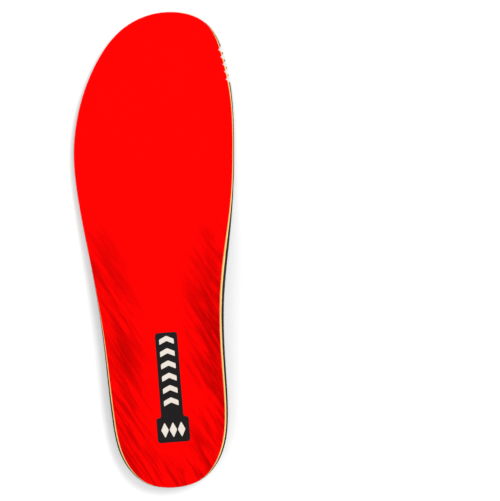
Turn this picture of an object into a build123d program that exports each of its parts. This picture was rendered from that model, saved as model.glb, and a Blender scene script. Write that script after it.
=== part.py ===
from build123d import *
import math
import os

# A cushioned insole for a left shoe, lying sole down.
# Millimetres. +Z is up, +Y points to the toe and +X to the inner (arch) side of the foot.
# The origin is the middle of the bounding box's bottom face.

# ---- driving dimensions ----------------------------------------------------------------

# layer thicknesses, measured straight up
pad_thickness = 2.2
film_thickness = 0.15
foam_thickness = 1.9
cover_thickness = 0.7
print_thickness = 0.25

# base shell
pad_proud = 0.3          # the pad stands this far below the shell, so it is what touches the ground
recess_gap = 0.3         # clearance between the pad and the wall of its recess
foam_share = 0.5         # the foam's edge lies this far across the bevel from cover to shell

# terraces moulded round the pad on the underside: distance from the pad's edge at which each
# one starts, and the shell's thickness outside that line where its bed climbs to the rim
terraces = [
    (1.7, 5.5),
    (4.9, 4.6),
    (8.1, 3.7),
    (11.3, 3.0),
]
terrace_step = 0.4       # each terrace lies at least this much higher than the one inside it

# raised lattice of overlapping circles on the pad
lattice_pitch = 13.4
lattice_angle = 9.0
lattice_origin = (6.2, 114.1)
pocket_depth = 0.8
petal_margin = 0.2       # petals are this much wider on each side than their circles
pad_border = 0.9         # no pocket comes nearer to the pad's edge than this
smallest_pocket = 1.0    # square millimetres; the edge cuts some pockets down to slivers
lattice_reach = 26       # hubs counted each way from the lattice's origin

# toe trimming notches on the inner edge
notch_count = 5
notch_pitch = 4.6
notch_depth = 1.9
notch_valley = 0.38      # share of the pitch from a tooth's tip to the bottom of the notch after it
notch_end = 0.97         # share of the pitch from a tooth's tip to the far side of that notch
notch_clearance = 3.0    # the notches' cutters reach this far past the edge
notch_start_y = 122.4
edge_samples = 2000      # places looked at to find where the notches start

# heel badge: a band along the heel with a wider foot
badge_center = (9.9, -83.0)
badge_tilt = 4.5
badge_length = 66.0
badge_width = 13.4
badge_foot_length = 15.0
badge_foot_width = 19.5
badge_corner = 2.0

# cover edge, clockwise from the toe: x, y, and how far the shell reaches past the cover there
cover_edge = [
    (10.5, 142.4, 0.3),
    (31.5, 135.4, 0.4),
    (41.1, 115.1, 1.4),
    (45.9, 92.0, 1.1),
    (47.4, 62.0, 0.9),
    (46.3, 30.0, 1.3),
    (41.9, -5.0, 2.6),
    (39.9, -30.0, 2.6),
    (41.2, -70.0, 2.2),
    (42.9, -98.0, 1.8),
    (40.1, -120.5, 1.6),
    (29.5, -136.8, 0.6),
    (12.5, -142.2, 0.5),
    (-4.0, -139.4, 0.8),
    (-16.6, -125.5, 1.6),
    (-22.6, -103.0, 1.7),
    (-28.9, -55.0, 1.1),
    (-37.3, -10.0, 0.3),
    (-45.1, 29.0, 0.2),
    (-47.9, 58.0, 0.4),
    (-44.5, 85.0, 0.2),
    (-35.1, 110.5, 0.2),
    (-18.0, 132.8, 0.3),
]

# cushion pad edge, clockwise from the toe
pad_edge = [
    (6.5, 132.1),
    (24.0, 125.0),
    (34.5, 105.0),
    (39.3, 72.0),
    (36.8, 40.0),
    (26.0, 15.0),
    (12.0, -8.5),
    (8.8, -23.0),
    (13.0, -43.0),
    (20.6, -68.5),
    (24.3, -93.0),
    (20.0, -117.0),
    (5.5, -127.0),
    (-11.0, -119.5),
    (-18.6, -98.0),
    (-21.6, -62.0),
    (-26.4, -20.0),
    (-33.8, 15.0),
    (-38.6, 50.0),
    (-35.6, 80.0),
    (-27.0, 105.0),
    (-13.0, 124.0),
]

# stations along the foot: y, centre line x, half width, height of the shell's floor, and
# height of its inner rim and outer rim
stations = [
    (160.0, 9.0, 30.0, 3.3, 3.3, 3.3),
    (120.0, 5.8, 35.6, 3.3, 3.4, 3.4),
    (90.0, 2.0, 45.3, 3.3, 3.6, 3.5),
    (60.0, 0.1, 48.3, 3.3, 4.6, 3.8),
    (30.0, 1.1, 46.5, 3.4, 9.0, 4.6),
    (0.0, 2.7, 42.1, 3.7, 17.5, 6.6),
    (-30.0, 4.2, 38.2, 4.1, 21.5, 9.4),
    (-60.0, 6.7, 36.2, 4.4, 19.0, 11.4),
    (-95.0, 10.1, 34.6, 4.6, 15.0, 12.2),
    (-120.0, 10.4, 34.4, 4.6, 12.8, 12.2),
    (-160.0, 10.4, 34.4, 4.6, 12.2, 12.2),
]
heel_start = -95.0       # behind this the cup closes round the heel
heel_length = 47.7
heel_roundness = 2.4     # exponent of the superellipse that the heel follows
bowl_power = 3.0         # the floor rises to the rim with this power of the share of the width

# the bed's face reaches past the outline on every side
bed_length = 304.0
bed_share = 1.2          # of the half width
bed_rows = 23
bed_columns = 15
bed_tolerance = 0.3      # how far the smooth face may pass from its points

# heights between which every layer is cut from a prism of the outline
prism_bottom = -5.0
prism_top = 45.0


# ---- shape of the foot bed ---------------------------------------------------------------

def at_station(y, column):
    """One column of the stations at y, joined by cubic curves that run smoothly through them."""
    rows = sorted(stations)
    i = max(1, min(len(rows) - 3, sum(row[0] <= y for row in rows) - 1))
    y0, y1 = rows[i][0], rows[i + 1][0]
    v0, v1 = rows[i][column], rows[i + 1][column]
    slope0 = (v1 - rows[i - 1][column]) / (y1 - rows[i - 1][0])
    slope1 = (rows[i + 2][column] - v0) / (rows[i + 2][0] - y0)
    t = max(0.0, min(1.0, (y - y0) / (y1 - y0)))
    along = y1 - y0
    return (
        v0 * (1 + 2 * t) * (1 - t) ** 2
        + slope0 * along * t * (1 - t) ** 2
        + v1 * t * t * (3 - 2 * t)
        + slope1 * along * t * t * (t - 1)
    )


def blend_sides(u, inner, outer):
    """A value that is outer at u = -1 and inner at u = 1."""
    return (inner + outer) / 2 + (inner - outer) / 2 * max(-1.0, min(1.0, u))


def edge_share(u, y):
    """0 on the centre line, 1 at the rim."""
    v = max(0.0, heel_start - y) / heel_length
    return (abs(u) ** heel_roundness + v ** heel_roundness) ** (1 / heel_roundness)


def bed_height(u, y):
    """Height of the shell's upper face at the share u of the half width."""
    floor = at_station(y, 3)
    rim = blend_sides(u, at_station(y, 4), at_station(y, 5))
    return floor + (rim - floor) * edge_share(u, y) ** bowl_power


def bed_face():
    """The shell's upper face, reaching past the outline on every side."""
    rows = []
    for j in range(bed_rows):
        y = bed_length * (j / (bed_rows - 1) - 0.5)
        center = at_station(y, 1)
        half = at_station(y, 2)
        row = []
        for i in range(bed_columns):
            u = bed_share * (1 - 2 * i / (bed_columns - 1))
            row.append(Vector(center + u * half, y, bed_height(u, y)))
        rows.append(row)
    return Face.make_surface_from_array_of_points(rows, tol=bed_tolerance, min_deg=3, max_deg=3)


def raised(face, height):
    """A copy of a face moved straight up."""
    return face.moved(Location((0, 0, height)))


# ---- outlines ----------------------------------------------------------------------------

def moved_out(points, distances):
    """The points of a closed outline, each moved outwards by its own distance."""
    moved = []
    for i, point in enumerate(points):
        after = points[(i + 1) % len(points)]
        tangent = (after - points[i - 1]).normalized()
        moved.append(point + Vector(-tangent.Y, tangent.X) * distances[i])
    return moved


def foot_edge(share, clearance=0.0):
    """The cover's edge moved out by a share of the bevel, and by a clearance all round."""
    points = [Vector(x, y) for x, y, lip in cover_edge]
    return moved_out(points, [lip * share + clearance for x, y, lip in cover_edge])


def notch_profiles():
    """Saw teeth along the inner edge of the toe, cut through every layer."""
    edge = Edge.make_spline(foot_edge(1.0), periodic=True)
    samples = [i / edge_samples for i in range(edge_samples)]
    inner_side = [t for t in samples if (edge @ t).X > 0]
    start = min(inner_side, key=lambda t: abs((edge @ t).Y - notch_start_y))
    pitch = notch_pitch / edge.length
    profiles = []
    for i in range(notch_count):
        tip = start + i * pitch
        valley = tip + notch_valley * pitch
        end = tip + notch_end * pitch
        outward = Vector(0, 0, 1).cross(edge % valley)
        profiles.append([
            edge @ tip,
            (edge @ valley) - outward * notch_depth,
            edge @ end,
            (edge @ end) + outward * notch_clearance,
            (edge @ tip) + outward * notch_clearance,
        ])
    return profiles


notches = notch_profiles()


def foot_outline(share):
    """The foot's outline with its notches, at a share of the bevel from cover to shell."""
    with BuildSketch() as outline:
        with BuildLine():
            Spline(*foot_edge(share), periodic=True)
        make_face()
        for corners in notches:
            with BuildLine():
                Polyline(*corners, close=True)
            make_face(mode=Mode.SUBTRACT)
    return outline.sketch


def pad_outline(grow):
    """The pad's outline, grown or shrunk."""
    points = [Vector(x, y) for x, y in pad_edge]
    with BuildSketch() as outline:
        with BuildLine():
            Spline(*moved_out(points, [grow] * len(points)), periodic=True)
        make_face()
    return outline.sketch


def outside_pad(reach, top):
    """Everything further from the pad's edge than reach, up to a height."""
    with BuildPart() as outside:
        with BuildSketch(Plane.XY.offset(prism_bottom)):
            with BuildLine():
                Spline(*foot_edge(1.0, clearance=1.0), periodic=True)
            make_face()
            add(pad_outline(reach), mode=Mode.SUBTRACT)
        extrude(amount=top - prism_bottom)
    return outside.part


def lattice_point(i, j):
    """A hub of the pad's lattice, whose rows are turned by the lattice angle."""
    along = Vector(lattice_pitch, 0).rotate(Axis.Z, lattice_angle)
    across = along.rotate(Axis.Z, 60)
    return Vector(*lattice_origin) + along * i + across * j


def pocket_sides(a, b, c):
    """The hollow between three petals, inside the hubs a, b and c.

    Each petal is bounded by two circles of one pitch about the hubs beside it. The hollow
    keeps a little clear of those circles, which leaves a hub where its corners would meet.
    """
    radius = lattice_pitch + petal_margin
    middle = (a + b + c) * (1 / 3)
    corner_reach = lattice_pitch / math.sqrt(3) - math.sqrt(radius ** 2 - lattice_pitch ** 2)
    side_reach = 2 * lattice_pitch / math.sqrt(3) - radius
    corners = [middle + (hub - middle).normalized() * corner_reach for hub in (a, b, c)]
    for start, end in ((0, 1), (1, 2), (2, 0)):
        outward = ((corners[start] + corners[end]) * 0.5 - middle).normalized()
        ThreePointArc(corners[start], middle + outward * side_reach, corners[end])


bed = bed_face()
foam_bottom = film_thickness
foam_top = foam_bottom + foam_thickness
cover_bottom = foam_top + film_thickness
cover_top = cover_bottom + cover_thickness

os.makedirs("parts", exist_ok=True)


# ---- base shell: moulded foam with heel cup, arch, pad recess and terraces -----------------

# what the terraces take away from a shell that is solid down to the ground
terrace_cuts = []
for i, (reach, thickness) in enumerate(terraces):
    below_bed = raised(bed, -thickness)
    terrace_cuts.append(outside_pad(reach, pad_proud + terrace_step * (i + 1)))
    terrace_cuts.append(split(outside_pad(reach, prism_top), bisect_by=below_bed, keep=Keep.BOTTOM))

with BuildPart() as base_shell:
    with BuildSketch(Plane.XY.offset(pad_proud)):
        add(foot_outline(1.0))
    extrude(amount=prism_top - pad_proud)
    split(bisect_by=bed, keep=Keep.BOTTOM)
    with BuildSketch(Plane.XY):
        add(pad_outline(recess_gap))
    extrude(amount=pad_thickness + film_thickness, mode=Mode.SUBTRACT)
    for cut in terrace_cuts:
        add(cut, mode=Mode.SUBTRACT)

base_shell.part.label = "base_shell"
export_step(base_shell.part, "parts/base_shell.step")


# ---- layers above the shell ---------------------------------------------------------------

def laminate(share, bottom, top):
    """A sheet of the foot's outline between two heights above the shell's bed."""
    with BuildPart() as sheet:
        with BuildSketch(Plane.XY.offset(prism_bottom)):
            add(foot_outline(share))
        extrude(amount=prism_top - prism_bottom)
        split(bisect_by=raised(bed, bottom), keep=Keep.TOP)
        split(bisect_by=raised(bed, top), keep=Keep.BOTTOM)
    return sheet


# hot-melt film that bonds the foam to the shell
foam_film = laminate(foam_share, 0.0, foam_bottom)
foam_film.part.label = "foam_film"
export_step(foam_film.part, "parts/foam_film.step")

# open-cell comfort foam
comfort_foam = laminate(foam_share, foam_bottom, foam_top)
comfort_foam.part.label = "comfort_foam"
export_step(comfort_foam.part, "parts/comfort_foam.step")

# hot-melt film that bonds the cover to the foam
cover_film = laminate(0.0, foam_top, cover_bottom)
cover_film.part.label = "cover_film"
export_step(cover_film.part, "parts/cover_film.step")

# knitted top cover
top_cover = laminate(0.0, cover_bottom, cover_top)
top_cover.part.label = "top_cover"
export_step(top_cover.part, "parts/top_cover.step")


# ---- heel badge: a print on the cover -------------------------------------------------------

with BuildPart() as heel_badge:
    with BuildSketch(Plane.XY.offset(prism_bottom)):
        with Locations(Location(badge_center, badge_tilt)):
            RectangleRounded(badge_width, badge_length, badge_corner)
            with Locations((0, (badge_foot_length - badge_length) / 2)):
                RectangleRounded(badge_foot_width, badge_foot_length, badge_corner)
    extrude(amount=prism_top - prism_bottom)
    split(bisect_by=raised(bed, cover_top), keep=Keep.TOP)
    split(bisect_by=raised(bed, cover_top + print_thickness), keep=Keep.BOTTOM)

heel_badge.part.label = "heel_badge"
export_step(heel_badge.part, "parts/heel_badge.step")


# ---- cushion pad and its bonding film -------------------------------------------------------

pocket_area = pad_outline(-pad_border)

with BuildSketch() as lattice:
    for i in range(-lattice_reach, lattice_reach + 1):
        for j in range(-lattice_reach, lattice_reach + 1):
            a = lattice_point(i, j)
            b = lattice_point(i + 1, j)
            c = lattice_point(i, j + 1)
            d = lattice_point(i + 1, j + 1)
            for corners in ((a, b, c), (b, d, c)):
                middle = (corners[0] + corners[1] + corners[2]) * (1 / 3)
                if pocket_area.distance_to(middle) < lattice_pitch / 3:
                    with BuildLine():
                        pocket_sides(*corners)
                    make_face()
    add(pocket_area, mode=Mode.INTERSECT)

with BuildPart() as cushion_pad:
    with BuildSketch():
        add(pad_outline(0))
    extrude(amount=pad_thickness)
    with BuildSketch():
        add([face for face in lattice.faces() if face.area > smallest_pocket])
    extrude(amount=pocket_depth, mode=Mode.SUBTRACT)

cushion_pad.part.label = "cushion_pad"
export_step(cushion_pad.part, "parts/cushion_pad.step")

with BuildPart() as pad_film:
    with BuildSketch(Plane.XY.offset(pad_thickness)):
        add(pad_outline(0))
    extrude(amount=film_thickness)

pad_film.part.label = "pad_film"
export_step(pad_film.part, "parts/pad_film.step")
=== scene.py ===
import bpy
import bmesh
import math
import numpy as np
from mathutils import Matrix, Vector
from mathutils.geometry import delaunay_2d_cdt


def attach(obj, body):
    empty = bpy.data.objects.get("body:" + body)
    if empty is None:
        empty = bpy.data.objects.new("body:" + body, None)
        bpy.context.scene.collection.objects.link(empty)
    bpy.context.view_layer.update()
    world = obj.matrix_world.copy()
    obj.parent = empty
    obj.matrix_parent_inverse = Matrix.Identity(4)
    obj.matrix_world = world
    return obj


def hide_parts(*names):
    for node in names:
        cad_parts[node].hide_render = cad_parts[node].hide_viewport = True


# A cushioned insole, cover up. Lengths are in millimetres until a mesh is made, in the CAD's own
# frame: +X to the inner side of the foot, +Y to the toe, +Z up.

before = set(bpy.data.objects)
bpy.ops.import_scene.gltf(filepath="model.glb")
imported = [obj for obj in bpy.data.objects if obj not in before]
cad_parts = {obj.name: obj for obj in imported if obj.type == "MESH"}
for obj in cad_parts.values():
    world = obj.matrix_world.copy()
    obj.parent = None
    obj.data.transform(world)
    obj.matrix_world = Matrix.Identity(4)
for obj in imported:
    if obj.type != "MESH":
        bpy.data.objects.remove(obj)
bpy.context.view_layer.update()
MM = 0.001

# ---- the insole's driving dimensions, as in the CAD model -----------------------------------

PAD_TOP = 2.2
PAD_PROUD = 0.3
FILM = 0.15
FOAM_BOTTOM = FILM
FOAM_TOP = FOAM_BOTTOM + 1.9
COVER_BOTTOM = FOAM_TOP + FILM
COVER_TOP = COVER_BOTTOM + 0.7
RECESS_GAP = 0.3

# cover edge, clockwise from the toe: x, y, and how far the shell reaches past the cover there
COVER_EDGE = [
    (10.5, 142.4, 0.3), (31.5, 135.4, 0.4), (41.1, 115.1, 1.4), (45.9, 92.0, 1.1),
    (47.4, 62.0, 0.9), (46.3, 30.0, 1.3), (41.9, -5.0, 2.6), (39.9, -30.0, 2.6),
    (41.2, -70.0, 2.2), (42.9, -98.0, 1.8), (40.1, -120.5, 1.6), (29.5, -136.8, 0.6),
    (12.5, -142.2, 0.5), (-4.0, -139.4, 0.8), (-16.6, -125.5, 1.6), (-22.6, -103.0, 1.7),
    (-28.9, -55.0, 1.1), (-37.3, -10.0, 0.3), (-45.1, 29.0, 0.2), (-47.9, 58.0, 0.4),
    (-44.5, 85.0, 0.2), (-35.1, 110.5, 0.2), (-18.0, 132.8, 0.3),
]
PAD_EDGE = [
    (6.5, 132.1), (24.0, 125.0), (34.5, 105.0), (39.3, 72.0), (36.8, 40.0), (26.0, 15.0),
    (12.0, -8.5), (8.8, -23.0), (13.0, -43.0), (20.6, -68.5), (24.3, -93.0), (20.0, -117.0),
    (5.5, -127.0), (-11.0, -119.5), (-18.6, -98.0), (-21.6, -62.0), (-26.4, -20.0),
    (-33.8, 15.0), (-38.6, 50.0), (-35.6, 80.0), (-27.0, 105.0), (-13.0, 124.0),
]
# stations along the foot: y, centre line x, half width, height of the shell's floor, and
# height of its inner rim and outer rim
STATIONS = [
    (-160.0, 10.4, 34.4, 4.6, 12.2, 12.2), (-120.0, 10.4, 34.4, 4.6, 12.8, 12.2),
    (-95.0, 10.1, 34.6, 4.6, 15.0, 12.2), (-60.0, 6.7, 36.2, 4.4, 19.0, 11.4),
    (-30.0, 4.2, 38.2, 4.1, 21.5, 9.4), (0.0, 2.7, 42.1, 3.7, 17.5, 6.6),
    (30.0, 1.1, 46.5, 3.4, 9.0, 4.6), (60.0, 0.1, 48.3, 3.3, 4.6, 3.8),
    (90.0, 2.0, 45.3, 3.3, 3.6, 3.5), (120.0, 5.8, 35.6, 3.3, 3.4, 3.4),
    (160.0, 9.0, 30.0, 3.3, 3.3, 3.3),
]
HEEL_START = -95.0
HEEL_LENGTH = 47.7
HEEL_ROUNDNESS = 2.4
BOWL_POWER = 3.0

NOTCH_COUNT = 5
NOTCH_PITCH = 4.6
NOTCH_DEPTH = 1.9
NOTCH_VALLEY = 0.38      # of the pitch, from a tooth's tip to the bottom of its notch
NOTCH_END = 0.97
NOTCH_BEVEL = 0.2        # the cover is cut this much deeper than the shell
NOTCH_START_Y = 122.4

LATTICE_PITCH = 13.4
LATTICE_ANGLE = math.radians(9.0)
LATTICE_ORIGIN = np.array((6.2, 114.1))

BADGE_CENTER = np.array((9.9, -83.0))
BADGE_TILT = math.radians(4.5)
BADGE_SIZE = (13.4, 66.0)
BADGE_FOOT = (19.5, 15.0)


# ---- shape of the foot bed ---------------------------------------------------------------

def station_table():
    """Every column of the stations on a fine grid of y, joined by smooth cubic curves."""
    rows = np.array(STATIONS)
    fine = np.linspace(rows[0, 0], rows[-1, 0], 641)
    i = np.clip(np.searchsorted(rows[:, 0], fine, side="right") - 1, 1, len(rows) - 3)
    y0, y1 = rows[i, 0], rows[i + 1, 0]
    t = np.clip((fine - y0) / (y1 - y0), 0, 1)
    columns = [fine]
    for column in range(1, rows.shape[1]):
        v = rows[:, column]
        slope0 = (v[i + 1] - v[i - 1]) / (y1 - rows[i - 1, 0])
        slope1 = (v[i + 2] - v[i]) / (rows[i + 2, 0] - y0)
        value = v[i] * (1 + 2 * t) * (1 - t) ** 2 + v[i + 1] * t * t * (3 - 2 * t)
        value += (y1 - y0) * (slope0 * t * (1 - t) ** 2 + slope1 * t * t * (t - 1))
        columns.append(value)
    return columns


STATION_TABLE = station_table()


def bed(points):
    """Height of the shell's upper face over an array of points."""
    x, y = points[:, 0], points[:, 1]
    center, half, floor, inner, outer = (np.interp(y, STATION_TABLE[0], c) for c in STATION_TABLE[1:])
    u = (x - center) / half
    v = np.maximum(0, HEEL_START - y) / HEEL_LENGTH
    share = (np.abs(u) ** HEEL_ROUNDNESS + v ** HEEL_ROUNDNESS) ** (1 / HEEL_ROUNDNESS)
    rim = (inner + outer) / 2 + (inner - outer) / 2 * np.clip(u, -1, 1)
    return floor + (rim - floor) * share ** BOWL_POWER


# ---- outlines ----------------------------------------------------------------------------

def outward_normals(line):
    """Outward unit normals at the points of a closed clockwise line."""
    tangent = np.roll(line, -1, axis=0) - np.roll(line, 1, axis=0)
    tangent /= np.linalg.norm(tangent, axis=1)[:, None]
    return np.stack((-tangent[:, 1], tangent[:, 0]), axis=1)


def moved_out(points, distances):
    """The points of a closed clockwise outline, each moved outwards by its own distance."""
    return points + outward_normals(points) * np.asarray(distances)[:, None]


def closed_spline(points, t):
    """The smooth closed curve through the points, at parameters from 0 to 1."""
    n = len(points)
    h = np.linalg.norm(np.roll(points, -1, axis=0) - points, axis=1)
    before = np.roll(h, 1)
    system = np.zeros((n, n))
    for i in range(n):
        system[i, i - 1] += before[i]
        system[i, i] += 2 * (before[i] + h[i])
        system[i, (i + 1) % n] += h[i]
    steps = (np.roll(points, -1, axis=0) - points) / h[:, None]
    bend = np.linalg.solve(system, 6 * (steps - np.roll(steps, 1, axis=0)))
    knots = np.concatenate(([0], np.cumsum(h)))
    at = np.mod(t, 1.0) * knots[-1]
    i = np.clip(np.searchsorted(knots, at, side="right") - 1, 0, n - 1)
    j = (i + 1) % n
    a = (knots[i + 1] - at)[:, None]
    b = (at - knots[i])[:, None]
    w = h[i][:, None]
    curve = (bend[i] * a ** 3 + bend[j] * b ** 3) / (6 * w)
    curve += (points[i] / w - bend[i] * w / 6) * a + (points[j] / w - bend[j] * w / 6) * b
    return curve


def lengths_along(line):
    """Arc length at each point of a closed line, and its whole length."""
    steps = np.linalg.norm(np.roll(line, -1, axis=0) - line, axis=1)
    return np.concatenate(([0], np.cumsum(steps)[:-1])), steps.sum()


FINE_POINTS = 8000       # on an outline, when places along it are looked up
COVER_POINTS = np.array(COVER_EDGE)[:, :2]
LIPS = np.array(COVER_EDGE)[:, 2]


def foot_parameters(spacing):
    """Parameters round the foot's edge, evenly spaced, with the corners of every notch among them.

    Also returns how deep the notches cut at each, measured from the shell's edge.
    """
    fine = np.linspace(0, 1, FINE_POINTS, endpoint=False)
    shell = closed_spline(moved_out(COVER_POINTS, LIPS), fine)
    along, total = lengths_along(shell)
    from_start = np.where(shell[:, 0] > 0, np.abs(shell[:, 1] - NOTCH_START_Y), np.inf)
    start = along[np.argmin(from_start)]
    places = list(np.arange(0, total, spacing))
    corners = []
    for i in range(NOTCH_COUNT):
        for corner in (0, NOTCH_VALLEY, NOTCH_END):
            corners.append(start + (i + corner) * NOTCH_PITCH)
    for a, b in zip(corners, corners[1:]):
        corners = corners + list(np.linspace(a, b, 4)[1:-1])
    places = [p for p in places if min(abs(p - c) for c in corners) > 0.45 * spacing]
    places = np.array(sorted(places + corners))
    tooth = (places - start) / NOTCH_PITCH
    local = tooth - np.floor(tooth)
    cut = np.minimum(local / NOTCH_VALLEY, (NOTCH_END - local) / (NOTCH_END - NOTCH_VALLEY))
    cut = np.where((tooth >= 0) & (tooth < NOTCH_COUNT), np.maximum(cut, 0) * NOTCH_DEPTH, 0)
    return np.interp(places, along, fine), cut


EDGE_SPACING = 0.8
FOOT_T, NOTCH_CUT = foot_parameters(EDGE_SPACING)
SHELL_LINE = closed_spline(moved_out(COVER_POINTS, LIPS), FOOT_T)
SHELL_NORMAL = outward_normals(SHELL_LINE)


def foot_ring(share, inset=0.0):
    """The foot's notched edge at a share of the bevel from cover to shell, moved in by inset."""
    line = closed_spline(moved_out(COVER_POINTS, LIPS * share), FOOT_T)
    gap = np.linalg.norm(SHELL_LINE - line, axis=1)
    valley = NOTCH_CUT * (1 + NOTCH_BEVEL * (1 - share))
    return line - SHELL_NORMAL * (inset + np.maximum(0, valley - gap))[:, None]


def pad_line(spacing):
    """The pad's edge, evenly spaced."""
    fine = np.linspace(0, 1, FINE_POINTS, endpoint=False)
    line = closed_spline(np.array(PAD_EDGE), fine)
    along, total = lengths_along(line)
    places = np.linspace(0, total, int(total / spacing), endpoint=False)
    return closed_spline(np.array(PAD_EDGE), np.interp(places, along, fine))


def distance_to(points, line):
    """Distance from each point to the nearest of a closely spaced line's points."""
    found = [
        np.sqrt(((block[:, None] - line[None]) ** 2).sum(-1).min(1))
        for block in np.array_split(points, max(1, len(points) // 400))
    ]
    return np.concatenate(found)


def inside(points, line):
    """Which points lie inside a closed line."""
    x0, y0 = line[:, 0], line[:, 1]
    x1, y1 = np.roll(x0, -1), np.roll(y0, -1)
    rise = np.where(y1 == y0, 1e-12, y1 - y0)
    found = []
    for block in np.array_split(points, max(1, len(points) // 2000)):
        x, y = block[:, :1], block[:, 1:]
        crosses = ((y0 > y) != (y1 > y)) & (x < (x1 - x0) * (y - y0) / rise + x0)
        found.append(crosses.sum(1) % 2 == 1)
    return np.concatenate(found)


def hex_grid(line, pitch, clearance):
    """Evenly spread points inside a closed line, no nearer to it than clearance."""
    low, high = line.min(0), line.max(0)
    rows = np.arange(low[1], high[1], pitch * math.sqrt(3) / 2)
    points = []
    for k, y in enumerate(rows):
        x = np.arange(low[0] + (k % 2) * pitch / 2, high[0], pitch)
        points.append(np.column_stack((x, np.full(len(x), y))))
    points = np.concatenate(points)
    points = points[inside(points, line)]
    return points[distance_to(points, line) > clearance]


def smoothstep(low, high, value):
    t = np.clip((value - low) / (high - low), 0, 1)
    return t * t * (3 - 2 * t)


# ---- meshes --------------------------------------------------------------------------------

class Skin:
    """A closed surface put together from rings of equal length and flat-projected caps."""

    def __init__(self):
        self.points = []
        self.faces = []
        self.count = 0
        self.marks = []

    def add(self, plan, height, mark=0.0):
        """Adds points over plan positions and returns their indices."""
        first = self.count
        plan = np.asarray(plan, float)
        height = np.broadcast_to(height, len(plan))
        self.points.append(np.column_stack((plan, height)))
        self.marks.append(np.broadcast_to(mark, len(plan)).astype(float))
        self.count += len(plan)
        return np.arange(first, self.count)

    def bridge(self, ring, other):
        """Quads between two rings of the same length."""
        n = len(ring)
        for i in range(n):
            j = (i + 1) % n
            self.faces.append((int(ring[i]), int(ring[j]), int(other[j]), int(other[i])))

    def rings(self, first, *rows):
        """A ring for each (plan, height, mark) row, bridged in turn from the first ring on.

        Returns the last ring.
        """
        for row in rows:
            ring = self.add(*row)
            self.bridge(first, ring)
            first = ring
        return first

    def fill(self, loops, extra, holes=()):
        """Triangles over the area inside the first loop of indices and outside the holes.

        loops are closed lines that the triangles keep to, and extra are loose points.
        """
        cloud = np.concatenate(self.points)
        used = np.concatenate([*loops, extra]).astype(int)
        plan = cloud[used, :2]
        edges = []
        at = 0
        for loop in loops:
            edges += [(at + i, at + (i + 1) % len(loop)) for i in range(len(loop))]
            at += len(loop)
        found = delaunay_2d_cdt([Vector(p) for p in plan], edges, [], 0, 1e-5)
        source = np.array([ids[0] if ids else -1 for ids in found[3]])
        triangles = np.array([f for f in found[2] if len(f) == 3])
        triangles = source[triangles]
        triangles = triangles[(triangles >= 0).all(1)]
        middle = plan[triangles].mean(1)
        kept = inside(middle, cloud[loops[0], :2])
        for hole in holes:
            kept &= ~inside(middle, cloud[hole, :2])
        self.faces += [tuple(int(used[i]) for i in t) for t in triangles[kept]]

    def make(self, name, material, sharp=40.0, layer=None):
        """The mesh object, in metres, with outward faces."""
        mesh = bpy.data.meshes.new(name)
        cloud = np.concatenate(self.points) * MM
        mesh.from_pydata([tuple(p) for p in cloud], [], self.faces)
        if layer:
            attribute = mesh.attributes.new(layer, "FLOAT", "POINT")
            attribute.data.foreach_set("value", np.concatenate(self.marks).astype(np.float32))
        work = bmesh.new()
        work.from_mesh(mesh)
        loose = [v for v in work.verts if not v.link_faces]
        bmesh.ops.delete(work, geom=loose, context="VERTS")
        bmesh.ops.recalc_face_normals(work, faces=work.faces)
        work.to_mesh(mesh)
        work.free()
        mesh.shade_smooth()
        mesh.set_sharp_from_angle(angle=math.radians(sharp))
        mesh.materials.append(material)
        piece = bpy.data.objects.new(name, mesh)
        bpy.context.collection.objects.link(piece)
        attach(piece, "root")
        return piece


# ---- materials -----------------------------------------------------------------------------

KNIT_PITCH = 0.75
STROKE_LEAN = math.radians(-33)      # of the cover's brush strokes
TWILL_CELL = 1.35


def new_material(name, roughness, specular=0.5):
    """A Principled material. Returns the material, its node tree and the shader."""
    material = bpy.data.materials.new(name)
    material.use_nodes = True
    tree = material.node_tree
    shader = tree.nodes["Principled BSDF"]
    shader.inputs["Roughness"].default_value = roughness
    shader.inputs["Specular IOR Level"].default_value = specular
    return material, tree, shader


def add_node(tree, kind, inputs=None, **settings):
    """A node with its inputs set to values, or linked where the value is a socket."""
    node = tree.nodes.new(kind)
    for key, value in settings.items():
        setattr(node, key, value)
    for key, value in (inputs or {}).items():
        if isinstance(value, bpy.types.NodeSocket):
            tree.links.new(value, node.inputs[key])
        else:
            node.inputs[key].default_value = value
    return node


def math_node(tree, operation, a, b=0.0, c=0.0, clamp=False):
    inputs = {0: a, 1: b, 2: c}
    return add_node(tree, "ShaderNodeMath", inputs, operation=operation, use_clamp=clamp).outputs[0]


def mix_color(tree, factor, a, b, blend="MIX"):
    node = add_node(tree, "ShaderNodeMix", {0: factor, 6: a, 7: b}, data_type="RGBA", blend_type=blend)
    return node.outputs[2]


def ramp(tree, factor, low, high):
    """0 below low, 1 above high, smooth between."""
    inputs = {0: factor, 1: low, 2: high}
    return add_node(tree, "ShaderNodeMapRange", inputs, interpolation_type="SMOOTHSTEP").outputs[0]


def place(tree, scale=(1, 1, 1), turn=0.0):
    """Object coordinates in millimetres, turned about Z and then scaled."""
    coordinate = add_node(tree, "ShaderNodeTexCoord").outputs["Object"]
    inputs = {"Vector": coordinate, "Rotation": (0, 0, turn), "Scale": (1 / MM,) * 3}
    turned = add_node(tree, "ShaderNodeMapping", inputs).outputs[0]
    return add_node(tree, "ShaderNodeMapping", {"Vector": turned, "Scale": scale}).outputs[0]


def noise(tree, vector, scale=1.0, detail=3.0, roughness=0.5):
    inputs = {"Vector": vector, "Scale": scale, "Detail": detail, "Roughness": roughness}
    return add_node(tree, "ShaderNodeTexNoise", inputs).outputs[0]


def attribute(tree, name):
    return add_node(tree, "ShaderNodeAttribute", attribute_name=name).outputs["Fac"]


def bump(tree, shader, height, distance, strength=1.0):
    inputs = {"Height": height, "Distance": distance * MM, "Strength": strength}
    tree.links.new(add_node(tree, "ShaderNodeBump", inputs).outputs[0], shader.inputs["Normal"])


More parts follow.
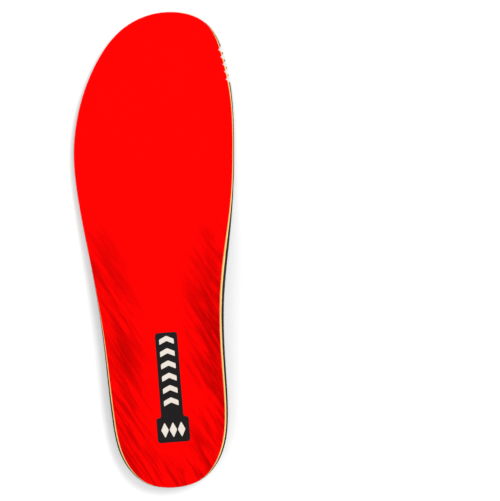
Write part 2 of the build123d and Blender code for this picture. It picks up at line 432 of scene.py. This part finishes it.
def knit_height(tree, pitch):
    """The relief of a fine knit: columns of slanted loops, leaning left and right in turn."""
    vector = place(tree)
    axes = add_node(tree, "ShaderNodeSeparateXYZ", {0: vector})
    column = math_node(tree, "DIVIDE", axes.outputs[0], pitch)
    half = math_node(tree, "PINGPONG", column, 0.5)
    row = math_node(tree, "DIVIDE", axes.outputs[1], pitch * 0.8)
    lean = math_node(tree, "MULTIPLY_ADD", half, 1.3, row)
    loops = math_node(tree, "SINE", math_node(tree, "MULTIPLY", lean, 2 * math.pi))
    ridge = math_node(tree, "SINE", math_node(tree, "MULTIPLY", column, 4 * math.pi))
    return math_node(tree, "MULTIPLY_ADD", loops, 0.5, math_node(tree, "MULTIPLY", ridge, 0.5))


def cover_material():
    """Red printed knit with darker brush strokes along both edges from midfoot to heel, and painted
    shade in the knit's hollows.
    """
    material, tree, shader = new_material("printed_knit", 0.9, specular=0.02)
    knit = knit_height(tree, KNIT_PITCH)
    axes = add_node(tree, "ShaderNodeSeparateXYZ", {0: place(tree)})
    broad = noise(tree, place(tree, (0.10, 0.02, 0.05), STROKE_LEAN), 1.0, 2.0, 0.5)
    strokes = noise(tree, place(tree, (0.40, 0.026, 0.1), STROKE_LEAN), 1.0, 5.0, 0.66)
    streak = math_node(tree, "MULTIPLY_ADD", strokes, 0.62, math_node(tree, "MULTIPLY", broad, 0.38))
    midfoot = ramp(tree, axes.outputs[1], 62.0, -45.0)
    near_edge = ramp(tree, attribute(tree, "rim"), 33.0, 8.0)
    reach = math_node(tree, "MULTIPLY", midfoot, math_node(tree, "MULTIPLY_ADD", near_edge, 0.9, 0.1))
    amount = math_node(tree, "MULTIPLY", ramp(tree, streak, 0.38, 0.62), reach, clamp=True)
    red = mix_color(tree, amount, (0.86, 0.0006, 0.0004, 1), (0.42, 0.0, 0.0, 1))
    mottle = noise(tree, place(tree, (1.0, 0.35, 0.5), STROKE_LEAN), 0.5, 4.0, 0.6)
    faint = math_node(tree, "MULTIPLY_ADD", mottle, 0.16, 0.92)
    # the knit's relief darkens the red in its hollows, as painted shade, on top of a random mottle
    shade = math_node(tree, "MULTIPLY_ADD", knit, 0.04, faint)
    grey = add_node(tree, "ShaderNodeCombineColor", {0: shade, 1: shade, 2: shade}).outputs[0]
    red = mix_color(tree, 1.0, red, grey, "MULTIPLY")
    cut = ramp(tree, attribute(tree, "rim"), 0.4, 0.0)
    red = mix_color(tree, cut, red, (0.62, 0.02, 0.015, 1))
    tree.links.new(red, shader.inputs["Base Color"])
    bump(tree, shader, knit, 0.09, 0.6)
    return material


def foam_material():
    """Pale yellow open-cell foam."""
    material, tree, shader = new_material("open_cell_foam", 0.95, specular=0.15)
    cells = add_node(tree, "ShaderNodeTexVoronoi", {"Vector": place(tree), "Scale": 2.6}).outputs[0]
    # darker in the pit at the middle of each cell: painted shade in the pores
    dark = ramp(tree, cells, 0.45, 0.1)
    tint = noise(tree, place(tree), 0.06, 2.0)
    base = mix_color(tree, tint, (0.78, 0.47, 0.13, 1), (0.80, 0.60, 0.25, 1))
    color = mix_color(tree, math_node(tree, "MULTIPLY", dark, 0.35), base, (0.45, 0.28, 0.09, 1))
    tree.links.new(color, shader.inputs["Base Color"])
    bump(tree, shader, cells, 0.12, 0.8)
    return material


def twill(tree):
    """A carbon-style twill of two over, two under: 1 at the middle of a thread, 0 between threads.

    Also returns which threads lie on top.
    """
    axes = add_node(tree, "ShaderNodeSeparateXYZ", {0: place(tree, (1 / TWILL_CELL,) * 3)})
    x, y = axes.outputs[0], axes.outputs[1]
    cells = math_node(tree, "SUBTRACT", math_node(tree, "FLOOR", x), math_node(tree, "FLOOR", y))
    over = math_node(tree, "LESS_THAN", math_node(tree, "FLOORED_MODULO", cells, 4.0), 2.0)
    along_x = math_node(tree, "SINE", math_node(tree, "MULTIPLY", math_node(tree, "FRACT", x), math.pi))
    along_y = math_node(tree, "SINE", math_node(tree, "MULTIPLY", math_node(tree, "FRACT", y), math.pi))
    thread = add_node(tree, "ShaderNodeMix", {0: over, 2: along_y, 3: along_x}).outputs[0]
    return thread, over


def shell_material():
    """Charcoal moulded foam: ribs with a painted highlight on their crests and painted shade in their
    grooves, and a woven look on its flanks with painted light and shade on its threads.

    The mark is -1 in grooves, 1 on crests and 2 on the flanks.
    """
    material, tree, shader = new_material("moulded_foam", 0.5, specular=0.22)
    grain = noise(tree, place(tree), 3.2, 3.0, 0.6)
    cloud = noise(tree, place(tree), 0.12, 4.0, 0.6)
    base = mix_color(tree, cloud, (0.0075, 0.007, 0.0065, 1), (0.0155, 0.0145, 0.0135, 1))
    mark = attribute(tree, "mark")
    weave = ramp(tree, mark, 1.1, 1.9)
    rib = math_node(tree, "MULTIPLY", mark, math_node(tree, "SUBTRACT", 1.0, weave))
    patchy = math_node(tree, "MULTIPLY_ADD", cloud, 0.8, 0.2)
    # a painted highlight on the ribs' crests, patchy at random
    crest_highlight = math_node(tree, "MULTIPLY", ramp(tree, rib, 0.3, 1.0), patchy)
    color = mix_color(tree, crest_highlight, base, (0.060, 0.057, 0.053, 1))
    # painted shade, near black, in the grooves and in the recess round the pad
    color = mix_color(tree, ramp(tree, rib, 0.1, -0.7), color, (0.0025, 0.0025, 0.0025, 1))
    thread, over = twill(tree)
    # threads are painted lighter along their middles and darker between them, and threads that lie
    # under are painted darker still: painted highlight and shade
    lit = math_node(tree, "MULTIPLY", thread, math_node(tree, "MULTIPLY_ADD", over, 0.85, 0.15))
    woven = mix_color(tree, lit, (0.0045, 0.004, 0.004, 1), (0.040, 0.037, 0.034, 1))
    color = mix_color(tree, math_node(tree, "MULTIPLY", weave, 0.85), color, woven)
    tree.links.new(color, shader.inputs["Base Color"])
    rough = math_node(tree, "MULTIPLY_ADD", grain, 0.25, 0.38)
    tree.links.new(rough, shader.inputs["Roughness"])
    relief = math_node(tree, "MULTIPLY", math_node(tree, "MULTIPLY", thread, weave), 1.5)
    bump(tree, shader, math_node(tree, "MULTIPLY_ADD", grain, 0.5, relief), 0.12, 0.6)
    return material


def pad_material():
    """Coral elastomer with a satin skin, and painted shade, a deeper red, in the grooves of its
    lattice.
    """
    material, tree, shader = new_material("cushion_elastomer", 0.45, specular=0.2)
    shader.inputs["Subsurface Weight"].default_value = 0.12
    shader.inputs["Subsurface Radius"].default_value = (0.0016, 0.0005, 0.0004)
    grain = noise(tree, place(tree), 1.6, 3.0, 0.55)
    cloud = noise(tree, place(tree), 0.1, 3.0)
    base = mix_color(tree, cloud, (0.93, 0.038, 0.030, 1), (0.97, 0.055, 0.045, 1))
    groove = attribute(tree, "groove")
    # painted shade in the grooves, on the pocket floors and on the pad's side
    color = mix_color(tree, groove, base, (0.46, 0.001, 0.002, 1))
    tree.links.new(color, shader.inputs["Base Color"])
    tree.links.new(math_node(tree, "MULTIPLY_ADD", grain, 0.2, 0.33), shader.inputs["Roughness"])
    bump(tree, shader, grain, 0.05, 0.4)
    return material


def print_material(name, low, high):
    """Heat-transfer ink that lets the knit below show faintly."""
    material, tree, shader = new_material(name, 0.6, specular=0.08)
    wear = noise(tree, place(tree), 0.7, 4.0, 0.6)
    tree.links.new(mix_color(tree, wear, low, high), shader.inputs["Base Color"])
    tree.links.new(math_node(tree, "MULTIPLY_ADD", wear, 0.25, 0.4), shader.inputs["Roughness"])
    bump(tree, shader, knit_height(tree, KNIT_PITCH), 0.05, 0.35)
    return material


def film_material():
    """Milky hot-melt film."""
    material, tree, shader = new_material("hot_melt_film", 0.35, specular=0.5)
    cloud = noise(tree, place(tree), 0.25, 4.0)
    color = mix_color(tree, cloud, (0.80, 0.76, 0.62, 1), (0.90, 0.87, 0.78, 1))
    tree.links.new(color, shader.inputs["Base Color"])
    bump(tree, shader, cloud, 0.03, 0.3)
    return material


# ---- top cover -----------------------------------------------------------------------------

def make_cover(material):
    skin = Skin()
    edge = foot_ring(0.0)
    # a ring is (inset from the cut edge, drop below the top face)
    profile = ((0.0, 0.62), (-0.06, 0.4), (0.0, 0.2), (0.18, 0.06), (0.45, 0.0), (1.0, 0.0))
    bottom = skin.add(foot_ring(0.0, 0.25), bed(edge) + COVER_BOTTOM)
    rows = []
    for inset, drop in profile:
        plan = foot_ring(0.0, inset)
        rows.append((plan, bed(plan) + COVER_TOP - drop, max(inset, 0.0)))
    top = skin.rings(bottom, *rows)
    grid = hex_grid(foot_ring(0.0, 1.0), 1.25, 0.8)
    rim = distance_to(grid, edge)
    wave = 0.02 * np.sin(grid[:, 0] * 0.21 + 1.3) * np.sin(grid[:, 1] * 0.17)
    inner = skin.add(grid, bed(grid) + COVER_TOP + wave, rim)
    skin.fill([top], inner)
    coarse = hex_grid(foot_ring(0.0, 0.25), 5.0, 3.0)
    under = skin.add(coarse, bed(coarse) + COVER_BOTTOM, 5.0)
    skin.fill([bottom], under)
    return skin.make("knit_cover", material, layer="rim")


# ---- comfort foam --------------------------------------------------------------------------

def make_foam(material):
    skin = Skin()
    rng = np.random.default_rng(7)
    # a ring is (share of the bevel, inset, height above the bed)
    profile = (
        (0.5, 0.35, FOAM_BOTTOM), (0.5, 0.08, FOAM_BOTTOM + 0.06), (0.48, 0.0, 0.45), (0.42, 0.0, 0.85),
        (0.34, 0.02, 1.25), (0.25, 0.05, 1.6), (0.14, 0.1, FOAM_TOP - 0.08), (0.05, 0.4, FOAM_TOP),
    )
    rows = []
    for k, (share, inset, height) in enumerate(profile):
        plan = foot_ring(share, inset)
        if 0 < k < len(profile) - 1:
            plan = plan + SHELL_NORMAL * rng.normal(0, 0.035, len(plan))[:, None]
        rows.append((plan, bed(plan) + height))
    bottom = skin.add(*rows[0])
    top = skin.rings(bottom, *rows[1:])
    for ring, height in ((top, FOAM_TOP), (bottom, FOAM_BOTTOM)):
        coarse = hex_grid(foot_ring(0.0, 0.4), 4.0, 2.5)
        skin.fill([ring], skin.add(coarse, bed(coarse) + height))
    return skin.make("foam_layer", material)


# ---- base shell ------------------------------------------------------------------------------

TERRACES = (1.7, 4.9, 8.1, 11.3)     # distance of each groove from the pad's edge
TERRACE_STEP = 0.4
SHELL_THICKNESS = (5.5, 3.0)         # round the pad, and outside the last terrace
RIB_RELIEF = 0.65
# rows of points across each rib, from the groove it starts at
RIB_STEPS = (-0.22, -0.08, 0.0, 0.08, 0.22, 0.5, 1.0, 1.6, 2.2, 2.7)
DISCS = np.array(((31.5, -28.0), (35.0, -54.0)))     # plain rings embossed under the arch
DISC_RADIUS = 4.8
DISC_RELIEF = 0.35
DISC_BREADTH = 0.35      # half the breadth of a ring
DISC_STEPS = (-0.7, -0.4, -0.2, 0, 0.2, 0.4, 0.7)    # rows of points across each ring


def terrace_profile(d):
    """Share of the way up from groove to crest, and how many terraces lie inside, at distance d."""
    phase = (np.asarray(d, float) - TERRACES[0]) / (TERRACES[1] - TERRACES[0])
    count = np.clip(np.floor(phase) + 1, 0, len(TERRACES))
    crest = np.clip(np.sin(math.pi * (phase - np.floor(phase))), 0, 1) ** 0.7
    crest = np.where(d < TERRACES[0], smoothstep(0, 0.6, TERRACES[0] - d), crest)
    crest = np.where(d > TERRACES[-1], smoothstep(0, 0.8, d - TERRACES[-1]), crest)
    return crest, count


def sole(points, d):
    """Height of the shell's underside, and its mark, at points that lie d outside the pad's edge."""
    crest, count = terrace_profile(d)
    level = PAD_PROUD + TERRACE_STEP * count
    thick, thin = SHELL_THICKNESS
    flank = bed(points) - (thick + (thin - thick) * smoothstep(TERRACES[0], TERRACES[-1] + 2, d))
    # the ground and the flank meet in a soft bend
    height = np.maximum(level, flank) + 0.175 * np.exp(-2 * np.abs(level - flank))
    height = height + np.where(d < 1, 0, RIB_RELIEF * (1 - crest))
    beyond = smoothstep(TERRACES[-1] + 0.6, TERRACES[-1] + 1.6, d)
    # the mark paints a highlight on each rib's crest and shade in the groove between ribs
    mark = (1.9 * crest - 1.0) * (1 - beyond) + 2 * beyond
    # painted shade in the band next to the recess
    mark = np.where(d < 1, -0.6, mark)
    for center in DISCS:
        reach = np.linalg.norm(points - center, axis=1) - DISC_RADIUS
        ring = np.exp(-(reach / DISC_BREADTH) ** 2)
        height = height + DISC_RELIEF * ring
        mark = np.where(reach < 0, 0.2, mark)
        # each ring gets the grooves' near-black colour, and where the mark climbs from -1 to the
        # flanks' 2 it passes the crests' painted highlight
        mark = mark + (-1 - mark) * ring
    return height, mark


def pad_rings(line, distances, clear_of, clearance):
    """Points at each distance outside the pad's edge, kept clear of another line.

    Where the edge curves inwards, a ring's points that end up too near to the pad are left out.
    """
    normal = outward_normals(line)
    kept = []
    for d in distances:
        ring = line + normal * d
        ring = ring[distance_to(ring, PAD_FINE) > d - RING_SLACK]
        ring = ring[inside(ring, clear_of)]
        kept.append(ring[distance_to(ring, clear_of) > clearance])
    return np.concatenate(kept)


PAD_FINE = pad_line(0.15)
RING_SLACK = 0.06


def make_shell(material):
    skin = Skin()
    pad = pad_line(0.9)
    normal = outward_normals(pad)
    # recess: ceiling edge, wall and a rounded mouth
    ceiling_height = PAD_TOP + FILM
    # marks of -1 to -0.6 give the recess and its mouth the grooves' painted shade
    ceiling = skin.add(pad + normal * RECESS_GAP, ceiling_height, -1.0)
    wall = skin.rings(
        ceiling,
        (pad + normal * RECESS_GAP, PAD_PROUD + 0.9, -1.0),
        (pad + normal * RECESS_GAP, PAD_PROUD + 0.35, -1.0),
        (pad + normal * (RECESS_GAP + 0.1), PAD_PROUD + 0.12, -0.9),
        (pad + normal * (RECESS_GAP + 0.35), PAD_PROUD, -0.6),
    )
    coarse = hex_grid(pad, 6.0, 3.0)
    skin.fill([ceiling], skin.add(coarse, ceiling_height, -1.0))
    # outer edge, from the sole up to the bevel below the foam
    edge = foot_ring(1.0)
    edge_distance = distance_to(edge, PAD_FINE)
    sole_rows = []
    for inset, rise in ((1.1, 0.0), (0.55, 0.05), (0.2, 0.22), (0.0, 0.6)):
        plan = foot_ring(1.0, inset)
        height, mark = sole(plan, edge_distance - inset)
        sole_rows.append((plan, height + rise, mark))
    sole_edge = skin.add(*sole_rows[0])
    wall_foot = skin.rings(sole_edge, *sole_rows[1:])
    foot_height = sole_rows[-1][1]
    top_height = bed(foot_ring(0.85)) - 0.55
    middle = foot_height + (top_height - foot_height) * 0.5
    rim = skin.rings(
        wall_foot,
        (foot_ring(1.0, -0.03), middle, 0.1),
        (edge, foot_height + (top_height - foot_height) * 0.9, 0.1),
        (foot_ring(0.93, 0.02), top_height + 0.12, 0.2),
        (foot_ring(0.78), bed(foot_ring(0.78)) - 0.2, 0.1),
        (foot_ring(0.6), bed(foot_ring(0.6)) - 0.03, 0.0),
        (foot_ring(0.5, 0.5), bed(foot_ring(0.5, 0.5)), 0.0),
    )
    coarse = hex_grid(foot_ring(0.5, 0.5), 4.0, 2.5)
    skin.fill([rim], skin.add(coarse, bed(coarse)))
    # underside between the recess and the edge
    steps = [0.95, 1.3]
    for groove in TERRACES:
        steps += [groove + s for s in RIB_STEPS]
    steps = [s for s in sorted(steps) if s < TERRACES[-1] + 0.6]
    sole_line = foot_ring(1.0, 1.1)
    rings = pad_rings(pad_line(1.1), steps, sole_line, 0.5)
    flank = hex_grid(sole_line, 1.2, 0.6)
    flank = flank[~inside(flank, pad)]
    flank = flank[distance_to(flank, PAD_FINE) > TERRACES[-1] + 0.9]
    loose = [rings]
    for center in DISCS:
        flank = flank[np.abs(np.linalg.norm(flank - center, axis=1) - DISC_RADIUS) > 0.9]
        turns = np.linspace(0, 2 * math.pi, 60, endpoint=False)
        spokes = np.stack((np.cos(turns), np.sin(turns)), axis=1)
        loose += [center + spokes * (DISC_RADIUS + step) for step in DISC_STEPS]
    loose = np.concatenate((*loose, flank))
    loose = loose[inside(loose, sole_line)]
    loose = loose[distance_to(loose, sole_line) > 0.45]
    height, mark = sole(loose, distance_to(loose, PAD_FINE))
    skin.fill([sole_edge, wall], skin.add(loose, height, mark), holes=[wall])
    return skin.make("moulded_shell", material, sharp=60, layer="mark")


# ---- cushion pad -----------------------------------------------------------------------------

POCKET_DEPTH = 0.8       # of the groove round each pocket
PLATEAU_RISE = 0.45      # of a pocket's middle above that groove
# rows of points along each petal's edge: how far into the pocket, and how many on each side
ARC_POINTS = ((-0.14, 14), (0.0, 15), (0.1, 15), (0.19, 14), (0.32, 12), (0.5, 10), (0.75, 7))
HUB_RADIUS = 1.6         # the grooves end this far from a hub
HUB_CIRCLES = (0.9, 1.5, 2.1)    # of points round each hub
LATTICE_REACH = 26       # hubs counted each way from the lattice's origin
PAD_REACH = (42.0, 137.0)    # no part of the pad lies further out than this in x and y


def lattice_point(i, j):
    along = np.array((math.cos(LATTICE_ANGLE), math.sin(LATTICE_ANGLE))) * LATTICE_PITCH
    turn = LATTICE_ANGLE + math.radians(60)
    across = np.array((math.cos(turn), math.sin(turn))) * LATTICE_PITCH
    return LATTICE_ORIGIN + along * i + across * j


def near_pad(points):
    return bool((np.abs(points) < PAD_REACH).all())


def lattice_hubs():
    steps = range(-LATTICE_REACH, LATTICE_REACH + 1)
    hubs = [lattice_point(i, j) for i in steps for j in steps]
    return [hub for hub in hubs if near_pad(hub)]


def lattice_triangles():
    """Corners of every triangle of hubs that can meet the pad."""
    found = []
    for i in range(-LATTICE_REACH, LATTICE_REACH + 1):
        for j in range(-LATTICE_REACH, LATTICE_REACH + 1):
            a, b, c, d = (lattice_point(i + p, j + q) for p, q in ((0, 0), (1, 0), (0, 1), (1, 1)))
            pair = (np.array((a, b, c)), np.array((b, d, c)))
            found += [corners for corners in pair if near_pad(corners.mean(0))]
    return found


def petal_arcs(corners, margin, count):
    """The three circles round a pocket, moved into it by a margin, between their crossings."""
    radius = LATTICE_PITCH + margin
    lost = 0.0
    if margin > 0:
        lost = math.pi / 6 - math.asin(min(1, LATTICE_PITCH / 2 / radius)) + margin / LATTICE_PITCH
    clear = max(lost, 0.5 * HUB_RADIUS / LATTICE_PITCH)
    arcs = []
    for k in range(3):
        center = corners[k] + corners[k - 1] - corners[k - 2]
        toward = corners.mean(0) - center
        angle = math.atan2(toward[1], toward[0])
        turns = angle + np.linspace(clear - math.pi / 6, math.pi / 6 - clear, count)
        arcs.append(center + radius * np.stack((np.cos(turns), np.sin(turns)), axis=1))
    return np.concatenate(arcs)


def lattice_fields(points):
    """How far each point lies inside the pocket round it, negative on petals, and from its hub."""
    c, s = math.cos(-LATTICE_ANGLE), math.sin(-LATTICE_ANGLE)
    local = (points - LATTICE_ORIGIN) @ np.array(((c, s), (-s, c)))
    row = LATTICE_PITCH * math.sqrt(3) / 2
    q = local[:, 1] / row
    p = local[:, 0] / LATTICE_PITCH - q / 2
    i, j = np.floor(p), np.floor(q)
    upper = (p - i) + (q - j) > 1

    def distance(hub_i, hub_j):
        x = (hub_i + hub_j / 2) * LATTICE_PITCH
        return np.hypot(local[:, 0] - x, local[:, 1] - hub_j * row)

    # the circle that bounds a petal on one side of a triangle is about the hub across that side
    depth = np.full(len(points), 1e9)
    for lower_hub, upper_hub in (((1, -1), (2, 0)), ((1, 1), (0, 2)), ((-1, 1), (0, 0))):
        hub_i = np.where(upper, upper_hub[0], lower_hub[0]) + i
        hub_j = np.where(upper, upper_hub[1], lower_hub[1]) + j
        depth = np.minimum(depth, distance(hub_i, hub_j) - LATTICE_PITCH)
    hub = np.min([distance(i + a, j + b) for a, b in ((0, 0), (1, 0), (0, 1), (1, 1))], axis=0)
    return depth, hub


def pad_relief(points):
    """Height of the pad's underside, and the painted shade in its grooves and on its pocket floors."""
    depth, hub = lattice_fields(points)
    clear_of_hub = smoothstep(HUB_RADIUS - 0.5, HUB_RADIUS + 0.5, hub)
    wall = smoothstep(-0.15, 0.18, depth)
    plateau = smoothstep(0.22, 0.6, depth)
    height = (POCKET_DEPTH * wall - PLATEAU_RISE * plateau) * clear_of_hub
    # painted shade along each groove, fading near the hubs, and a little on the recessed pocket floors
    groove = np.exp(-((depth - 0.12) / 0.26) ** 2) * clear_of_hub + 0.12 * plateau
    return height, groove


def make_pad(material):
    skin = Skin()
    line = pad_line(0.55)
    normal = outward_normals(line)
    top = skin.add(line, PAD_TOP, 0.0)
    # the pad's side is given half the grooves' painted shade
    rows = [(line, 1.0, 0.5)]
    for inset, height in ((0.0, 0.3), (0.08, 0.1), (0.25, 0.02), (0.5, 0.0)):
        ring = line - normal * inset
        relief, groove = pad_relief(ring)
        rows.append((ring, np.maximum(relief, height), groove))
    mouth = skin.rings(top, *rows)
    coarse = hex_grid(line, 6.0, 3.0)
    skin.fill([top], skin.add(coarse, PAD_TOP, 0.0))
    inner = rows[-1][0]
    loose = [line - normal * 0.8]
    for corners in lattice_triangles():
        for margin, count in ARC_POINTS:
            loose.append(petal_arcs(corners, margin, count))
        middle = corners.mean(0)
        loose.append(middle + (corners - middle) * 0.35)
        loose.append(middle[None])
    turns = np.radians(np.arange(0, 360, 30))
    spokes = np.stack((np.cos(turns), np.sin(turns)), axis=1)
    for hub in lattice_hubs():
        loose += [hub[None], *(hub + spokes * radius for radius in HUB_CIRCLES)]
        for k in range(3):
            angle = LATTICE_ANGLE + math.radians(60 * k)
            step = np.array((math.cos(angle), math.sin(angle)))
            loose.append(hub + step * np.arange(3.0, LATTICE_PITCH - 2.5, 1.2)[:, None])
    loose = np.concatenate(loose)
    loose = loose[inside(loose, inner)]
    loose = loose[distance_to(loose, inner) > 0.22]
    skin.fill([mouth], skin.add(loose, *pad_relief(loose)))
    return skin.make("lattice_pad", material, sharp=60, layer="groove")


# ---- heel badge ------------------------------------------------------------------------------

BAND_HEIGHTS = (-0.05, 0.1)      # of its lower and upper face, from the cover's
MOTIF_HEIGHTS = (0.06, 0.16)
CHEVRON_COUNT = 6
CHEVRON_PITCH = 7.4
LOZENGE_PITCH = 5.0


def rounded(corners, radius, steps=5):
    """A closed line through corners, each rounded off."""
    corners = np.array(corners, float)
    line = []
    for k, corner in enumerate(corners):
        ends = []
        for other in (corners[k - 1], corners[(k + 1) % len(corners)]):
            run = other - corner
            length = np.linalg.norm(run)
            ends.append(corner + run / length * min(radius, length * 0.45))
        for t in np.linspace(0, 1, steps):
            line.append(ends[0] * (1 - t) ** 2 + corner * 2 * t * (1 - t) + ends[1] * t * t)
    return np.array(line)


def spaced(line, spacing):
    """A closed line with points added so that none are further apart than spacing."""
    points = []
    for a, b in zip(line, np.roll(line, -1, axis=0)):
        count = max(1, int(np.ceil(np.linalg.norm(b - a) / spacing)))
        points += [a + (b - a) * n / count for n in range(count)]
    return np.array(points)


def on_badge(points):
    """Badge coordinates, x across and y along the heel, to the insole's frame."""
    c, s = math.cos(BADGE_TILT), math.sin(BADGE_TILT)
    return np.asarray(points) @ np.array(((c, s), (-s, c))) + BADGE_CENTER


def raised_shape(skin, line, foot, top, grid):
    """A thin raised shape on the cover, from foot to top above its face."""
    outer = on_badge(line)
    normal = outward_normals(outer)
    if ((outer - outer.mean(0)) * normal).sum() < 0:
        normal = -normal
    inner = outer - normal * 0.12
    low = skin.add(outer, bed(outer) + COVER_TOP + foot)
    face = skin.rings(
        low,
        (outer, bed(outer) + COVER_TOP + top - 0.04),
        (inner, bed(inner) + COVER_TOP + top),
    )
    loose = hex_grid(inner, grid, grid * 0.5)
    skin.fill([face], skin.add(loose, bed(loose) + COVER_TOP + top))
    skin.fill([low], skin.add(loose, bed(loose) + COVER_TOP + foot))


def make_badge(film, ink):
    half, long = BADGE_SIZE[0] / 2, BADGE_SIZE[1] / 2
    wide, foot = BADGE_FOOT[0] / 2, BADGE_FOOT[1]
    band = [(-half, long), (half, long), (half, foot - long), (wide, foot - long), (wide, -long),
            (-wide, -long), (-wide, foot - long), (-half, foot - long)]
    skin = Skin()
    raised_shape(skin, spaced(rounded(band, 2.0), 0.9), *BAND_HEIGHTS, 1.4)
    badge = skin.make("badge_band", film)
    motifs = Skin()
    # a row of plain chevrons above three lozenges
    reach = half - 2.3
    for k in range(CHEVRON_COUNT):
        y = long - 5.2 - CHEVRON_PITCH * k
        chevron = [(-reach, y + 1.1), (0, y + 3.2), (reach, y + 1.1), (reach, y - 2.0), (0, y + 0.1),
                   (-reach, y - 2.0)]
        raised_shape(motifs, spaced(rounded(chevron, 0.5, 4), 0.8), *MOTIF_HEIGHTS, 1.1)
    bar_y = foot / 2 - long
    for k in (-1, 0, 1):
        x = k * LOZENGE_PITCH
        lozenge = [(x, bar_y + 4.6), (x + 2.3, bar_y), (x, bar_y - 4.6), (x - 2.3, bar_y)]
        raised_shape(motifs, spaced(rounded(lozenge, 0.7, 4), 0.8), *MOTIF_HEIGHTS, 1.1)
    marks = motifs.make("badge_motifs", ink)
    return badge, marks


# ---- the object --------------------------------------------------------------------------------

cover = make_cover(cover_material())
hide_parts("top_cover")

foam = make_foam(foam_material())
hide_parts("comfort_foam")

shell = make_shell(shell_material())
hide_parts("base_shell")

pad = make_pad(pad_material())
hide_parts("cushion_pad")

badge, badge_motifs = make_badge(
    print_material("black_ink", (0.0035, 0.003, 0.003, 1), (0.009, 0.008, 0.008, 1)),
    print_material("cream_ink", (0.58, 0.53, 0.47, 1), (0.66, 0.61, 0.55, 1)),
)
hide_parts("heel_badge")

film = film_material()
for name in ("cover_film", "foam_film", "pad_film"):
    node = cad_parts[name]
    node.data.materials.clear()
    node.data.materials.append(film)


# ---- floor, light and camera --------------------------------------------------------------------

# all in metres
FLOOR_REACH = 30
FLOOR_GAP = 0.0002       # below the insole
LIGHT_AIM = (0.03, 0, 0)


def make_floor():
    """A plain pale floor that can't be seen from below."""
    mesh = bpy.data.meshes.new("floor")
    r = FLOOR_REACH
    mesh.from_pydata([(-r, -r, 0), (r, -r, 0), (r, r, 0), (-r, r, 0)], [], [(0, 1, 2, 3)])
    floor = bpy.data.objects.new("floor", mesh)
    floor.location.z = -FLOOR_GAP
    bpy.context.collection.objects.link(floor)
    material, tree, shader = new_material("pale_floor", 0.9, specular=0.1)
    shader.inputs["Base Color"].default_value = (0.92, 0.92, 0.92, 1)
    clear = add_node(tree, "ShaderNodeBsdfTransparent")
    back = add_node(tree, "ShaderNodeNewGeometry").outputs["Backfacing"]
    mixed = add_node(tree, "ShaderNodeMixShader", {0: back, 1: shader.outputs[0], 2: clear.outputs[0]})
    tree.links.new(mixed.outputs[0], tree.nodes["Material Output"].inputs["Surface"])
    mesh.materials.append(material)


def add_light(name, place_at, size, power):
    """A round lamp turned to the insole."""
    lamp = bpy.data.lights.new(name, "AREA")
    lamp.shape = "DISK"
    lamp.size = size
    lamp.energy = power
    holder = bpy.data.objects.new(name, lamp)
    holder.location = place_at
    holder.rotation_euler = (Vector(LIGHT_AIM) - Vector(place_at)).to_track_quat("-Z", "Y").to_euler()
    bpy.context.collection.objects.link(holder)


make_floor()
add_light("key", (1.5, 1.2, 3.0), 1.6, 55)
add_light("fill", (-2.0, -0.8, 2.4), 2.0, 14)

world = bpy.data.worlds.new("studio")
world.use_nodes = True
world.node_tree.nodes["Background"].inputs[0].default_value = (1, 1, 1, 1)
world.node_tree.nodes["Background"].inputs[1].default_value = 1.0
bpy.context.scene.world = world
bpy.context.scene.view_settings.view_transform = "Standard"

# straight down; the insole lies on the left half of the picture
CAMERA_HEIGHT = 1.25
SENSOR_WIDTH = 36
VIEW_SIZE = 0.3006       # of the picture, at the height where the insole's outline lies
RIM_HEIGHT = 0.008
VIEW_CENTER = (0.0579, -0.0009)
camera_data = bpy.data.cameras.new("camera")
camera_data.sensor_width = SENSOR_WIDTH
camera_data.lens = SENSOR_WIDTH * (CAMERA_HEIGHT - RIM_HEIGHT) / VIEW_SIZE
camera = bpy.data.objects.new("camera", camera_data)
camera.location = (*VIEW_CENTER, CAMERA_HEIGHT)
bpy.context.collection.objects.link(camera)
bpy.context.scene.camera = camera
